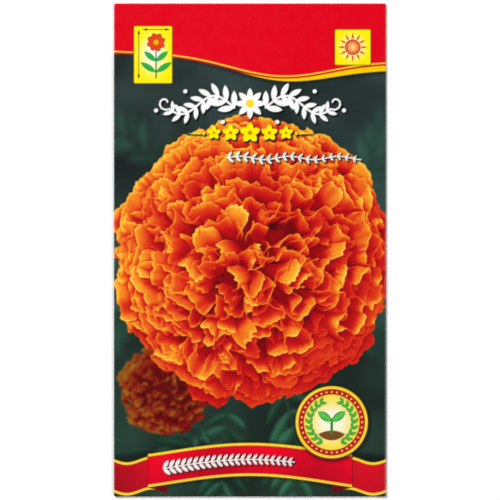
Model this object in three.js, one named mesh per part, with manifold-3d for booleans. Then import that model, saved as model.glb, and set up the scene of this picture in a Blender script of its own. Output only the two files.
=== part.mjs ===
// A printed paper seed packet, glued shut and lying on its back, with the loose seeds inside it.
// Millimetres, +Z up. The front panel faces +Z and the packet's top edge is towards +Y.
// The origin is the middle of the packet's footprint, on the surface that it lies on.
import * as THREE from "three";
import { mergeVertices } from "three/addons/utils/BufferGeometryUtils.js";
import Module from "manifold-3d";

// Driving dimensions
const PACKET_WIDTH = 80;
const PACKET_HEIGHT = 145;
const PAPER = 0.15; // thickness of the coated sheet
const GLUE = 0.1; // thickness of a dried glue strip
const GLUE_CLEARANCE = 0.05; // free on each face of a glue strip
const RIM_GAP = 0.2; // the panels stand this far apart at the folds, where the paper springs back
const BULGE = 2.0; // and this much further over the seeds
const SIDE_FLAP = 9;
const TOP_FLAP = 14;
const FLAP_TAPER = 4; // how far a flap's free edge is set in at each end
const FLAP_END_GAP = 1.5; // between a side flap's end and the packet's bottom edge or the top flap
const PANEL_PLAY = 0.25; // between the back panel's three cut edges and the folds round them
const SEED_COUNT = 24;
const SEED_LENGTH = 8.6; // of the dark body, without its tuft
const SEED_WIDTH = 1.1;
const SEED_FLATNESS = 0.8; // thickness over width
const LONG_AWN = 4.2;
const SHORT_AWN = 2.2;
const SEED_CLEARANCE = 0.1; // between a seed and the paper

// Heights that follow from them
const backOuter = PAPER + GLUE + 2 * GLUE_CLEARANCE; // the flaps lie on the surface, under the back panel
const backInner = backOuter + PAPER;
const halfWidth = PACKET_WIDTH / 2;
const halfHeight = PACKET_HEIGHT / 2;
const sideFlapBottom = -halfHeight + FLAP_END_GAP;
const sideFlapTop = halfHeight - TOP_FLAP - FLAP_END_GAP;

const PANEL_COLUMNS = 16; // cells across the crowned front panel
const PANEL_ROWS = 28;

const wasm = await Module();
wasm.setup();

// Depth of the pocket at a point of the packet: a lens across, and fuller in the lower half,
// where the seeds have settled.
function pocketDepth(x, y) {
  const u = x / halfWidth;
  const v = y / halfHeight;
  const across = 1 - u * u;
  const along = (1 - v ** 4) * (0.9 - 0.35 * v);
  return RIM_GAP + BULGE * Math.max(0, across * along);
}

// Park and Miller's generator, so that the seeds fall the same way each time.
let randomState = 1946;
function random() {
  randomState = (randomState * 16807) % 2147483647;
  return randomState / 2147483647;
}

function solidOf(geometry) {
  const bare = geometry.clone();
  bare.deleteAttribute("normal");
  bare.deleteAttribute("uv");
  const merged = mergeVertices(bare, 1e-4);
  return new wasm.Manifold(
    new wasm.Mesh({
      numProp: 3,
      vertProperties: merged.attributes.position.array,
      triVerts: new Uint32Array(merged.index.array),
    }),
  );
}

function geometryOf(solid) {
  const mesh = solid.getMesh();
  const geometry = new THREE.BufferGeometry();
  geometry.setAttribute("position", new THREE.BufferAttribute(mesh.vertProperties, 3));
  geometry.setIndex(new THREE.BufferAttribute(mesh.triVerts, 1));
  return geometry;
}

// A block whose underside is flat and whose upper face stands at backInner plus the pocket's depth.
// inset draws its sides in from the packet's outline, and lift raises its upper face.
function crownedBlock(inset, underside, lift) {
  const width = PACKET_WIDTH - 2 * inset;
  const height = PACKET_HEIGHT - 2 * inset;
  const geometry = new THREE.BoxGeometry(width, height, 1, PANEL_COLUMNS, PANEL_ROWS, 1);
  const place = geometry.attributes.position;
  for (let i = 0; i < place.count; i++) {
    const crown = backInner + pocketDepth(place.getX(i), place.getY(i)) + lift;
    place.setZ(i, place.getZ(i) > 0 ? crown : underside);
  }
  return solidOf(geometry);
}

// A slab of paper on the surface that the packet lies on, from an outline of [x, y] points.
function paperSlab(outline) {
  const shape = new THREE.Shape(outline.map(([x, y]) => new THREE.Vector2(x, y)));
  return solidOf(new THREE.ExtrudeGeometry(shape, { depth: PAPER, bevelEnabled: false }));
}

function block(x0, x1, y0, y1, z0, z1) {
  const geometry = new THREE.BoxGeometry(x1 - x0, y1 - y0, z1 - z0);
  geometry.translate((x0 + x1) / 2, (y0 + y1) / 2, (z0 + z1) / 2);
  return geometry;
}

// A side flap with the strip of fold that joins it to the front panel. side is -1 or 1.
function sideFlap(side) {
  const fold = side * halfWidth;
  const free = side * (halfWidth - SIDE_FLAP);
  const outline = [
    [fold, sideFlapBottom],
    [free, sideFlapBottom + FLAP_TAPER],
    [free, sideFlapTop - FLAP_TAPER],
    [fold, sideFlapTop],
  ];
  const inner = side * (halfWidth - PAPER);
  const strip = block(
    Math.min(fold, inner),
    Math.max(fold, inner),
    sideFlapBottom,
    sideFlapTop,
    0,
    backInner,
  );
  return paperSlab(outline).add(solidOf(strip));
}

function topFlap() {
  const free = halfHeight - TOP_FLAP;
  const outline = [
    [-halfWidth, halfHeight],
    [-halfWidth + FLAP_TAPER, free],
    [halfWidth - FLAP_TAPER, free],
    [halfWidth, halfHeight],
  ];
  const strip = block(-halfWidth, halfWidth, halfHeight - PAPER, halfHeight, 0, backInner);
  return paperSlab(outline).add(solidOf(strip));
}

// What is cut out of the back panel along its two sides and its top, where it hangs on no fold.
// The slits lead from the pocket to the glued seams.
function backPanelSlits() {
  const side = halfWidth - PAPER;
  const top = halfHeight - PAPER;
  const through = [backOuter - GLUE_CLEARANCE / 2, backInner + RIM_GAP / 2];
  const left = solidOf(block(-side, -side + PANEL_PLAY, -top, top, ...through));
  const right = solidOf(block(side - PANEL_PLAY, side, -top, top, ...through));
  return left.add(right).add(solidOf(block(-side, side, top - PANEL_PLAY, top, ...through)));
}

// The folded sheet: a front panel, the fold at its bottom with the back panel, and three glued flaps.
function paperPacket() {
  const pocket = crownedBlock(PAPER, backInner, 0);
  let sheet = crownedBlock(0, backOuter, PAPER).subtract(pocket).subtract(backPanelSlits());
  for (const side of [-1, 1]) {
    sheet = sheet.add(sideFlap(side));
  }
  return geometryOf(sheet.add(topFlap()));
}

const GLUE_INSET = 1.2; // from a flap's edges to the glue under it
const glueBottom = PAPER + GLUE_CLEARANCE;
const glueTop = glueBottom + GLUE;

function sideGlue(side) {
  const near = side * (halfWidth - SIDE_FLAP + GLUE_INSET);
  const far = side * (halfWidth - GLUE_INSET);
  const inset = FLAP_TAPER + GLUE_INSET;
  return block(
    Math.min(near, far),
    Math.max(near, far),
    sideFlapBottom + inset,
    sideFlapTop - inset,
    glueBottom,
    glueTop,
  );
}

function topGlue() {
  const reach = halfWidth - FLAP_TAPER - GLUE_INSET;
  const free = halfHeight - TOP_FLAP;
  return block(-reach, reach, free + GLUE_INSET, halfHeight - GLUE_INSET, glueBottom, glueTop);
}

const SEED_SIDES = 8;
// Share of the body's length, and share of its greatest radius there.
const SEED_PROFILE = [
  [0, 0],
  [0.02, 0.38],
  [0.2, 0.62],
  [0.5, 0.92],
  [0.8, 1],
  [0.97, 0.86],
  [1, 0],
];

// The awns of the tuft: how far each turns from the seed's line, in degrees, and its length.
const AWNS = [
  [-13, SHORT_AWN],
  [-5, LONG_AWN],
  [4, LONG_AWN * 0.86],
  [11, SHORT_AWN * 1.15],
];
const AWN_RADIUS = 0.24;
const AWN_ROOT = 0.8; // how deep an awn is sunk in the body

// One seed along +X about its own middle: a spindle with a tuft of awns, gently bent.
function seedGeometry(bend, stretch) {
  const radius = SEED_WIDTH / 2;
  const outline = SEED_PROFILE.map(
    ([along, share]) => new THREE.Vector2(share * radius, (along - 0.5) * SEED_LENGTH),
  );
  const body = new THREE.LatheGeometry(outline, SEED_SIDES);
  body.rotateZ(-Math.PI / 2);
  let seed = solidOf(body);
  for (const [turn, length] of AWNS) {
    const awn = new THREE.ConeGeometry(AWN_RADIUS, length + AWN_ROOT, 4);
    awn.rotateZ(-Math.PI / 2);
    awn.translate((length + AWN_ROOT) / 2 - AWN_ROOT, 0, 0);
    awn.rotateZ((turn * Math.PI) / 180);
    awn.translate(SEED_LENGTH / 2, 0, 0);
    seed = seed.add(solidOf(awn));
  }
  const geometry = geometryOf(seed);
  const place = geometry.attributes.position;
  for (let i = 0; i < place.count; i++) {
    const x = place.getX(i) * stretch;
    const away = (2 * x) / SEED_LENGTH;
    place.setXYZ(i, x, place.getY(i) + bend * away * away, place.getZ(i) * SEED_FLATNESS);
  }
  return geometry;
}

const seedHeight = backInner + SEED_CLEARANCE + (SEED_WIDTH * SEED_FLATNESS) / 2;
const SEED_ROOM = SEED_WIDTH * SEED_FLATNESS + 3 * SEED_CLEARANCE; // pocket depth that a seed needs
const SEED_SPACING = 2.1; // least distance between the middles of two seeds' stations
const SEED_ZONE_TOP = -4; // the seeds have settled below this height
const STATIONS = [-0.5, -0.25, 0, 0.25, 0.5, 0.75, 1]; // along a seed, in body lengths

// Points along a seed that lies at (x, y) with its tuft towards angle.
function stationsOf(x, y, angle) {
  return STATIONS.map((s) => [
    x + Math.cos(angle) * s * SEED_LENGTH,
    y + Math.sin(angle) * s * SEED_LENGTH,
  ]);
}

// Drops the seeds one by one: a place is kept where the pocket is deep enough and no seed lies yet.
function dropSeeds() {
  const dropped = [];
  while (dropped.length < SEED_COUNT) {
    const x = (random() - 0.5) * PACKET_WIDTH;
    const y = -halfHeight + random() * (SEED_ZONE_TOP + halfHeight);
    const angle = random() * 2 * Math.PI;
    const stations = stationsOf(x, y, angle);
    const fits = stations.every(([sx, sy]) => pocketDepth(sx, sy) > SEED_ROOM && sy < SEED_ZONE_TOP);
    const free = dropped.every((other) =>
      other.stations.every(([ox, oy]) =>
        stations.every(([sx, sy]) => Math.hypot(ox - sx, oy - sy) > SEED_SPACING),
      ),
    );
    if (fits && free) {
      dropped.push({ x, y, angle, stations, bend: (random() - 0.5) * 0.5, stretch: 0.9 + 0.1 * random() });
    }
  }
  return dropped;
}

// The sheet is printed all over, so its colour here is the mean of the front panel's picture.
const coatedPaper = new THREE.MeshStandardMaterial({ color: 0xb46043, roughness: 0.38, metalness: 0 });
const driedGlue = new THREE.MeshStandardMaterial({ color: 0xe8dcc0, roughness: 0.5, metalness: 0 });
const seedHusk = new THREE.MeshStandardMaterial({ color: 0x2b2119, roughness: 0.7, metalness: 0 });

function named(name, geometry, material) {
  const mesh = new THREE.Mesh(geometry, material);
  mesh.name = name;
  return mesh;
}

const packet = new THREE.Group();
packet.add(named("paper_packet", paperPacket(), coatedPaper));
packet.add(named("glue_strip_left", sideGlue(-1), driedGlue));
packet.add(named("glue_strip_right", sideGlue(1), driedGlue));
packet.add(named("glue_strip_top", topGlue(), driedGlue));

dropSeeds().forEach(({ x, y, angle, bend, stretch }, i) => {
  const number = String(i + 1).padStart(2, "0");
  const seed = named(`seed_${number}`, seedGeometry(bend, stretch), seedHusk);
  seed.position.set(x, y, seedHeight);
  seed.rotation.z = angle;
  packet.add(seed);
});

export default packet;
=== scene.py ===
# %% [markdown]
# A seed packet in paper and ink
#
# The object is a flat packet of coated paper, folded from one sheet, glued shut and filled with a pinch of
# marigold seeds. Its shape is simple and nearly all of its looks are print, so most of this lesson is about
# making a printed picture without an image file: the flower on the front is modelled petal by petal, looked
# at from straight ahead, and its light is written into the vertex colours of a fine film of ink.
# Sizes are in millimetres until a mesh is filled, and the frame that is loaded first gives the packet's box.

# %% The frame
import math
from collections import namedtuple

import bmesh
import bpy
import numpy as np
from mathutils import Matrix, Vector


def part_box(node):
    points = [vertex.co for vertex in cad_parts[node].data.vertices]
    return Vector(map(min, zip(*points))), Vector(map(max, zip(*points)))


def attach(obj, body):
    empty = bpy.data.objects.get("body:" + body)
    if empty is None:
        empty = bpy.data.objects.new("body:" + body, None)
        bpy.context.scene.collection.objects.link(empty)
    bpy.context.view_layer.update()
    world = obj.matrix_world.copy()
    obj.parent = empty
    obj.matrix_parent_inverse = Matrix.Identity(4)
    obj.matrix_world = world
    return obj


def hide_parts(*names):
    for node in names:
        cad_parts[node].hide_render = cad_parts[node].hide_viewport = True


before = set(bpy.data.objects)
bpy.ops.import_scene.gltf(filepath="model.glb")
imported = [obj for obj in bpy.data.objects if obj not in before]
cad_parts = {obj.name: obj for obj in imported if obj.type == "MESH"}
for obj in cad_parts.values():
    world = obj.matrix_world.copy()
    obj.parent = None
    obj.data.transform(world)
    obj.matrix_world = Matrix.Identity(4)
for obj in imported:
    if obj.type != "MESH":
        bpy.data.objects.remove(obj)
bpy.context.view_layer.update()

MM = 0.001
half_width, half_height, packet_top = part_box("paper_packet")[1] / MM
print(f"packet {2 * half_width:.1f} x {2 * half_height:.1f} x {packet_top:.2f} mm")

# %% [markdown]
# The front panel's surface
#
# The sheet is 0.15 mm art paper. The front panel stands a little away from the back, because paper springs at
# a fold, and the seeds make a low cushion in the lower half. The front's height is one formula, used by the
# paper and by the ink on it, so that the two can't part. It is the crown of the solid packet, made less
# perfect: long seeds show through thin paper as faint ridges, and the sheet keeps a few shallow waves.

# %% Heights and folds of the paper
PAPER = 0.15
INK_LIFT = 0.02  # of the ink's film over the paper, so that no render can mix the two up
FLAP_MIDDLE = PAPER / 2  # height of the middle of the paper in a flap, which lies on the table
BACK_MIDDLE = 0.425  # in the back panel, which lies on the flaps
RIM_MIDDLE = 0.775  # and in the front panel, along its folds

outside = PAPER / 2 + INK_LIFT  # from the middle of the paper to the ink
side_fold = (RIM_MIDDLE - FLAP_MIDDLE) / 2  # radius of a fold, in the middle of the paper
bottom_fold = (RIM_MIDDLE - BACK_MIDDLE) / 2
fold_x = half_width - side_fold - outside  # where the front panel ends and its folds start
fold_top = half_height - side_fold - outside
fold_bottom = -half_height + bottom_fold + outside
print(f"front panel {2 * fold_x:.1f} mm wide and {fold_top - fold_bottom:.1f} mm high between its folds")

# %% The front panel's surface
BULGE = 1.96
SEED_RIDGE = 0.05
SEED_RIDGE_REACH = 1.5
WAVE = 0.03


def seed_line(node):
    """The middle, direction and half length of a loose seed, seen from above."""
    points = np.array([vertex.co[:2] for vertex in node.data.vertices]) / MM
    middle = points.mean(0)
    direction = np.linalg.svd(points - middle, full_matrices=False)[2][0]
    reach = (points - middle) @ direction
    return middle + direction * (reach.max() + reach.min()) / 2, direction, np.ptp(reach) / 2


seed_names = sorted(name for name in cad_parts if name.startswith("seed_"))
seed_lines = [seed_line(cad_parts[name]) for name in seed_names]


def front_height(x, y):
    """Height of the middle of the front panel's paper over arrays x and y."""
    u = np.clip(x / fold_x, -1, 1)
    v = np.clip((2 * y - fold_top - fold_bottom) / (fold_top - fold_bottom), -1, 1)
    cushion = (1 - u**2) * (1 - v**4) * (0.9 - 0.35 * v)
    height = RIM_MIDDLE + BULGE * cushion
    for middle, direction, half_length in seed_lines:
        dx, dy = x - middle[0], y - middle[1]
        along = np.clip(dx * direction[0] + dy * direction[1], -half_length, half_length)
        away = np.hypot(dx - along * direction[0], dy - along * direction[1])
        ridge = SEED_RIDGE * np.exp(-((away / SEED_RIDGE_REACH) ** 2))
        height = height + ridge * np.minimum(2 * cushion, 1)
    waves = np.sin(0.11 * x + 0.9) * np.sin(0.083 * y + 0.4) + 0.6 * np.sin(0.23 * x - 0.19 * y)
    return height - WAVE * (1.6 + waves) * (1 - u**8) * (1 - v**16)


print(f"{len(seed_names)} seeds under a front that rises to {front_height(0.0, -35.0):.2f} mm")

# %% [markdown]
# The plate that the ink comes from
#
# A printer sees the front as a grid of dots. Here a dot is 0.1 mm, and two by two of them make one vertex of
# the ink film, 0.2 mm apart, which is about the screen of a real offset print. The plate is laid out flat and
# runs on round the folds, as a printer lets a picture bleed past the trim. A shape is drawn as a distance: a
# function gives how far each dot is outside it, and ink covers the dots where that is below zero. The
# distance also makes the edges smooth, because a dot on the outline is covered by half. A shape brings its
# box along, so that only the dots near it are worked out.


# %% Colours of ink
def rgb(code):
    """An sRGB hex colour as three numbers from 0 to 1, still in sRGB."""
    return np.array([int(code[i : i + 2], 16) / 255 for i in (1, 3, 5)], np.float32)


def linear(colour):
    """sRGB numbers as the linear ones that Blender's colours hold."""
    colour = np.asarray(colour, np.float32)
    return np.where(colour <= 0.04045, colour / 12.92, ((colour + 0.055) / 1.055) ** 2.4)


def hex_colour(code):
    """An sRGB hex colour as a linear RGBA colour for a shader."""
    return (*(float(part) for part in linear(rgb(code))), 1.0)


def smooth(value, low, high):
    step = np.clip((value - low) / (high - low), 0, 1)
    return step * step * (3 - 2 * step)


print(f"a grey of 0.5 in sRGB is {linear(0.5):.2f} in linear light")

# %% The plate
DOT = 0.1
BOX_MARGIN = np.array((-1.5, 1.5, -1.5, 1.5))  # round a shape's box, for its soft edge

Shape = namedtuple("Shape", "distance box")  # a function of x and y; and left, right, bottom and top


class Plate:
    """A flat picture of ink, in millimetres on the sheet. Two by two dots make a vertex of its film."""

    def __init__(self, left, right, bottom, top, dot=DOT):
        self.dot = dot
        self.pitch = 2 * dot
        self.columns = math.ceil((right - left) / self.pitch)
        self.rows = math.ceil((top - bottom) / self.pitch)
        self.left = (left + right - self.columns * self.pitch) / 2
        self.bottom = (bottom + top - self.rows * self.pitch) / 2
        self.x = self.left + dot * (np.arange(2 * self.columns + 2) - 0.5)
        self.y = self.bottom + dot * (np.arange(2 * self.rows + 2) - 0.5)
        self.ink = np.ones((self.y.size, self.x.size, 3), np.float32)

    def window(self, box):
        """The rows and columns of the dots in a box, and their places."""
        left, right, bottom, top = box
        columns = slice(*np.searchsorted(self.x, (left, right)))
        rows = slice(*np.searchsorted(self.y, (bottom, top)))
        return (rows, columns), self.x[None, columns], self.y[rows, None]

    def lay(self, colour, shape, fade=None, strength=1.0):
        """Prints a shape, with an edge that fades over some mm. The colour may be a function of x and y."""
        area, x, y = self.window(shape.box + BOX_MARGIN)
        cover = strength * np.clip(0.5 - shape.distance(x, y) / (fade or self.dot), 0, 1)[..., None]
        if callable(colour):
            colour = colour(x, y)
        elif isinstance(colour, str):
            colour = rgb(colour)
        self.ink[area] += (colour - self.ink[area]) * cover

    def vertex_colours(self):
        """The mean of two by two dots round each vertex of the film, in rows from the bottom."""
        return self.ink.reshape(self.rows + 1, 2, self.columns + 1, 2, 3).mean((1, 3))


print(f"dots of {DOT} mm, and a vertex every {2 * DOT} mm")

# %% The front's plate
side_bleed = (side_fold + outside) * math.pi / 2
bottom_bleed = (bottom_fold + outside) * math.pi / 2
plate_x, plate_top = fold_x + side_bleed, fold_top + side_bleed
front_plate = Plate(-plate_x, plate_x, fold_bottom - bottom_bleed, plate_top)
print(f"front plate of {front_plate.columns} x {front_plate.rows} cells")

# %% [markdown]
# Outlines
#
# A handful of outlines draws everything that isn't the flower: disc, panel, tapered bar, and a leaf, which is
# the overlap of two equal discs.


# %% Outlines
def around(*points, margin=0.0):
    """The box round some points, with a margin."""
    xs, ys = zip(*points)
    return np.array((min(xs) - margin, max(xs) + margin, min(ys) - margin, max(ys) + margin))


def disc(middle, radius):
    x0, y0 = middle
    return Shape(lambda x, y: np.hypot(x - x0, y - y0) - radius, around(middle, margin=radius))


def panel(middle, width, height, corner=0.0):
    x0, y0 = middle

    def distance(x, y):
        dx = np.abs(x - x0) - width / 2 + corner
        dy = np.abs(y - y0) - height / 2 + corner
        inside = np.minimum(np.maximum(dx, dy), 0)
        return np.hypot(np.maximum(dx, 0), np.maximum(dy, 0)) + inside - corner

    return Shape(distance, around(middle, margin=max(width, height) / 2))


def bar(start, end, width, end_width=None):
    """A round-ended stroke that may taper."""
    (x0, y0), (x1, y1) = start, end
    dx, dy = x1 - x0, y1 - y0
    taper = 0 if end_width is None else end_width - width

    def distance(x, y):
        along = np.clip(((x - x0) * dx + (y - y0) * dy) / (dx * dx + dy * dy), 0, 1)
        return np.hypot(x - x0 - along * dx, y - y0 - along * dy) - (width + taper * along) / 2

    return Shape(distance, around(start, end, margin=width / 2))


outside_disc = disc((0, 0), 1).distance(3.0, 0.0)
print(f"a dot 3 mm from the middle of a disc 2 mm across is {outside_disc:.0f} mm outside it")


# %% A leaf
def overlap(one, two, box):
    return Shape(lambda x, y: np.maximum(one.distance(x, y), two.distance(x, y)), box)


def leaf(start, end, width):
    (x0, y0), (x1, y1) = start, end
    length = math.hypot(x1 - x0, y1 - y0)
    radius = (length**2 + width**2) / (4 * width)
    off_x = -(y1 - y0) / length * (radius - width / 2)
    off_y = (x1 - x0) / length * (radius - width / 2)
    one = disc(((x0 + x1) / 2 + off_x, (y0 + y1) / 2 + off_y), radius)
    two = disc(((x0 + x1) / 2 - off_x, (y0 + y1) / 2 - off_y), radius)
    return overlap(one, two, around(start, end, margin=width / 2))


print(f"a leaf 2 mm wide is {-leaf((0, 0), (5, 0), 2).distance(2.5, 0.0):.1f} mm deep in its middle")

# %% [markdown]
# The garden behind the flower
#
# A flower portrait has a dusky, out-of-focus garden behind it, cold grey-green above and deeper green below.
# Two scales of soft noise make the light and dark in it. The leaves are drawn sharp and then blurred with the
# rest, as a lens does: the far ones twice, the near ones once. A marigold's leaf is a feather: pairs of
# narrow leaflets along a rib.

# %% Dusk
DARK = "#161f1d"


def clouds(plate, size, seed):
    """Soft noise from -1 to 1 with patches about size mm across."""
    rng = np.random.default_rng(seed)
    columns, rows = (plate.x - plate.x[0]) / size, (plate.y - plate.y[0]) / size
    values = rng.uniform(-1, 1, (int(rows[-1]) + 2, int(columns[-1]) + 2))
    column, row = columns.astype(int), rows.astype(int)
    right = smooth(columns - column, 0, 1)
    up = smooth(rows - row, 0, 1)[:, None]
    lower = values[row][:, column] * (1 - right) + values[row][:, column + 1] * right
    upper = values[row + 1][:, column] * (1 - right) + values[row + 1][:, column + 1] * right
    return lower * (1 - up) + upper * up


def print_dusk(plate):
    high = smooth(plate.y, -60, 60)[:, None, None]
    tone = rgb("#2c4a3c") * (1 - high) + rgb("#3a4e4e") * high
    light = np.clip(0.5 + 0.4 * clouds(plate, 17, seed=1) + 0.22 * clouds(plate, 7, seed=2), 0, 1.2)
    plate.ink[:] = rgb(DARK) + (tone - rgb(DARK)) * light[..., None]


print_dusk(front_plate)
print(f"dusk: mean colour {np.round(front_plate.ink.mean((0, 1)), 2)}")


# %% A soft focus
def soften(picture, radius):
    """A soft focus: three running means along each axis, which come close to a Gaussian."""
    reach = max(1, round(radius / DOT))
    for axis in (0, 1, 0, 1, 0, 1):
        pad = [(0, 0)] * picture.ndim
        pad[axis] = (reach + 1, reach)
        total = np.cumsum(np.pad(picture, pad, mode="edge"), axis=axis, dtype=np.float64)
        count = picture.shape[axis]
        ends = np.arange(2 * reach + 1, 2 * reach + 1 + count)
        picture = (np.take(total, ends, axis) - np.take(total, ends - 2 * reach - 1, axis)) / (2 * reach + 1)
    return picture


spread = soften(np.eye(1, 41, 20), 0.3)
print(f"a focus that is soft by 0.3 mm spreads a dot over {(spread > 1e-6).sum()} dots")

# %% A feathered leaf
LEAFLET_PAIRS = 7


def ahead(point, angle, length):
    return point[0] + math.cos(angle) * length, point[1] + math.sin(angle) * length


def print_leaflet(plate, start, end, width, green):
    """One leaflet, lighter on the side that faces up, with a pale rib."""
    (x0, y0), (x1, y1) = start, end
    length = math.hypot(x1 - x0, y1 - y0)
    upper_side = math.copysign(1, (x1 - x0) * 0.86 + (y1 - y0) * 0.5)

    def tone(x, y):
        side = ((y - y0) * (x1 - x0) - (x - x0) * (y1 - y0)) / length / (width / 2)
        return green * (1 + 0.2 * upper_side * np.clip(3 * side, -1, 1) - 0.1 * side**2)[..., None]

    plate.lay(tone, leaf(start, end, width))
    plate.lay(green * 1.5, bar(start, end, 0.18, 0.05), strength=0.4)


def print_feather(plate, root, heading, length, green, seed):
    """A leaf of a marigold: a bending rib with leaflets in pairs, the longest in the middle."""
    rng = np.random.default_rng(seed)
    green = rgb(green)
    bend = rng.uniform(-0.9, 0.9)
    point = root
    for k in range(LEAFLET_PAIRS):
        along = (k + 0.6) / LEAFLET_PAIRS
        angle = math.radians(heading) + bend * along
        start, point = point, ahead(point, angle, length / LEAFLET_PAIRS)
        plate.lay(green * 0.8, bar(start, point, 0.8 - 0.4 * along))
        reach = length * (0.38 * math.sin(math.pi * (0.15 + 0.8 * along)) + 0.06)
        for side in (-1, 1):
            spread = angle + side * (1.0 - 0.4 * along + rng.uniform(-0.16, 0.16))
            tip = ahead(point, spread, reach * rng.uniform(0.8, 1.1))
            print_leaflet(plate, point, tip, 0.27 * reach, green * rng.uniform(0.7, 1.15))
    print_leaflet(plate, point, ahead(point, angle, length * 0.3), 0.08 * length, green)


print(f"a leaf has {2 * LEAFLET_PAIRS + 1} leaflets")

# %% The garden's leaves
FAR_LEAVES = (  # root, heading in degrees, length, green and seed
    ((-26, 24), 128, 24, "#29463b", 13),
    ((30, 16), 52, 22, "#2b4a3e", 14),
    ((-28, -12), 214, 24, "#27493a", 15),
    ((30, -24), -22, 26, "#2a4f3f", 17),
)
NEAR_LEAVES = (
    ((8, -38), -62, 34, "#2d5a43", 11),
    ((-6, -44), 262, 28, "#28513d", 16),
    ((-12, -50), 232, 22, "#2a5540", 18),
)

for leaves, blur in ((FAR_LEAVES, 0.7), (NEAR_LEAVES, 0.3)):
    for look in leaves:
        print_feather(front_plate, *look)
    front_plate.ink[:] = soften(front_plate.ink, blur)
print(f"garden of {len(FAR_LEAVES) + len(NEAR_LEAVES)} leaves")

# %% [markdown]
# A petal
#
# A double marigold is a ball of several hundred florets, packed by the golden angle as in any daisy. Each is
# a fan on a narrow foot, cupped and folded, with a frilled edge. One formula bends a flat sheet of points (u
# across, v along) into that shape, and random numbers, drawn from a fixed seed, make every petal its own:
# how far it turns, leans, curls, folds and frills. All lengths are shares of the bloom's radius.

# %% Numbers for each petal
GOLDEN_ANGLE = math.pi * (3 - math.sqrt(5))
BLOOM_REACH = math.radians(104)  # from the middle of the bloom to its last petals, round the back


def draw_petals(count, seed):
    """The random numbers of each petal, from the middle of the bloom outwards."""
    rng = np.random.default_rng(seed)
    k = np.arange(count)
    tilt = np.arccos(1 - (1 - math.cos(BLOOM_REACH)) * (k + 0.5) / count)
    return {
        "tilt": tilt + rng.normal(0, 0.05, count),
        "round": k * GOLDEN_ANGLE + rng.normal(0, 0.16, count),
        "turn": rng.normal(0, 1, count) * np.interp(tilt, (0, 0.6, 1.2), np.radians((110, 60, 36))),
        "root": rng.uniform(0.55, 0.66, count),
        "length": rng.uniform(0.38, 0.50, count),
        "width": rng.uniform(0.08, 0.14, count) * np.interp(tilt, (0.3, 1.3), (0.95, 1.35)),
        "lean": rng.uniform(-0.12, 0.22, count),
        "curl": rng.uniform(-0.1, 1.0, count),
        "cup": rng.uniform(-0.5, 0.9, count),
        "wave": rng.uniform(0.15, 0.55, count),
        "folds": rng.uniform(0.5, 1.6, count),
        "frills": rng.uniform(2.5, 5.0, count),
        "notches": rng.uniform(4, 9, count),
        "phase": rng.uniform(0, 2 * math.pi, count),
        "hue": rng.normal(0, 0.05, count),
    }


print(f"petals turned by {math.degrees(GOLDEN_ANGLE):.1f} degrees each")


# %% The shape of a petal
def petal_points(petals, u, v):
    """The places of the points u, v of each petal in a bloom of radius 1, and how far up it each one is."""
    petal = {name: values[:, None, None] for name, values in petals.items()}
    tilt, azimuth = petal["tilt"], petal["round"]
    outward = np.stack([np.sin(tilt) * np.cos(azimuth), np.sin(tilt) * np.sin(azimuth), np.cos(tilt)], -1)
    down = np.stack([np.cos(tilt) * np.cos(azimuth), np.cos(tilt) * np.sin(azimuth), -np.sin(tilt)], -1)
    sideways = np.stack([-np.sin(azimuth), np.cos(azimuth), 0 * tilt], -1)
    cosine, sine = np.cos(petal["turn"])[..., None], np.sin(petal["turn"])[..., None]
    across, facing = cosine * sideways + sine * down, cosine * down - sine * sideways

    phase, width, length, curl = petal["phase"], petal["width"], petal["length"], petal["curl"]
    # The end is rounded, notched and finely toothed, and the foot is narrow.
    notched = 1 - 0.2 * np.abs(u) ** 3 - 0.028 * (1 + np.sin(petal["notches"] * u + phase))
    up = v * (notched - 0.009 * np.sin(21 * u + phase))
    half = width * (0.18 + 0.82 * np.minimum(1.08 * up, 1) ** 0.8)
    rise = petal["root"] + length * (up - 0.22 * np.clip(curl, 0, 1) * up**4)
    # The petal leans and curls, is folded in its length, frilled at its end and cupped.
    wave = petal["wave"] * width
    push = length * (petal["lean"] * up + 0.36 * curl * up**3.5)
    push = push + wave * up**1.6 * np.sin(petal["folds"] * math.pi * u + phase)
    push = push + 0.2 * wave * up**5 * np.sin(petal["frills"] * math.pi * u + 2 * phase)
    push = push + width * u**2 * (0.3 + 0.7 * up) * petal["cup"]
    arch = half * np.sin(1.2 * u) / math.sin(1.2)
    return outward * rise[..., None] + facing * push[..., None] + across * arch[..., None], up


print(f"{len(draw_petals(1, seed=0))} numbers make a petal")

# %% [markdown]
# Looking at the bloom
#
# The plate looks at the bloom from straight ahead. Every point of every petal falls on one dot, and the
# nearest point wins, which is how a graphics card draws too (a depth buffer). The same trick, done along
# the light instead of along the view, tells which points the light meets first: the others are in shadow.

# %% The light's view
SHADOW_CELL = 0.007  # of the bloom's radius
SHADOW_CELLS = int(2.6 / SHADOW_CELL)
LIGHT = np.array((-0.42, 0.52, 0.74)) / math.sqrt(0.42**2 + 0.52**2 + 0.74**2)


def unit(vectors):
    return vectors / (np.linalg.norm(vectors, axis=-1, keepdims=True) + 1e-9)


light_right = unit(np.cross((0, 1, 0), LIGHT))
light_up = np.cross(LIGHT, light_right)


def shadow_cells(points):
    """The cells that points fall on when they are seen from the light."""
    seen = [points @ axis / SHADOW_CELL + SHADOW_CELLS / 2 for axis in (light_up, light_right)]
    return [np.clip(place.astype(int), 0, SHADOW_CELLS - 1) for place in seen]


print(f"light from {np.round(LIGHT, 2)}, shadows on {SHADOW_CELLS} x {SHADOW_CELLS} cells")

# %% The plate's view
BATCH = 80  # petals at a time, to save memory
PETAL_FOOT = 0.25  # the share of a petal that its neighbours always hide, which isn't made


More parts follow.
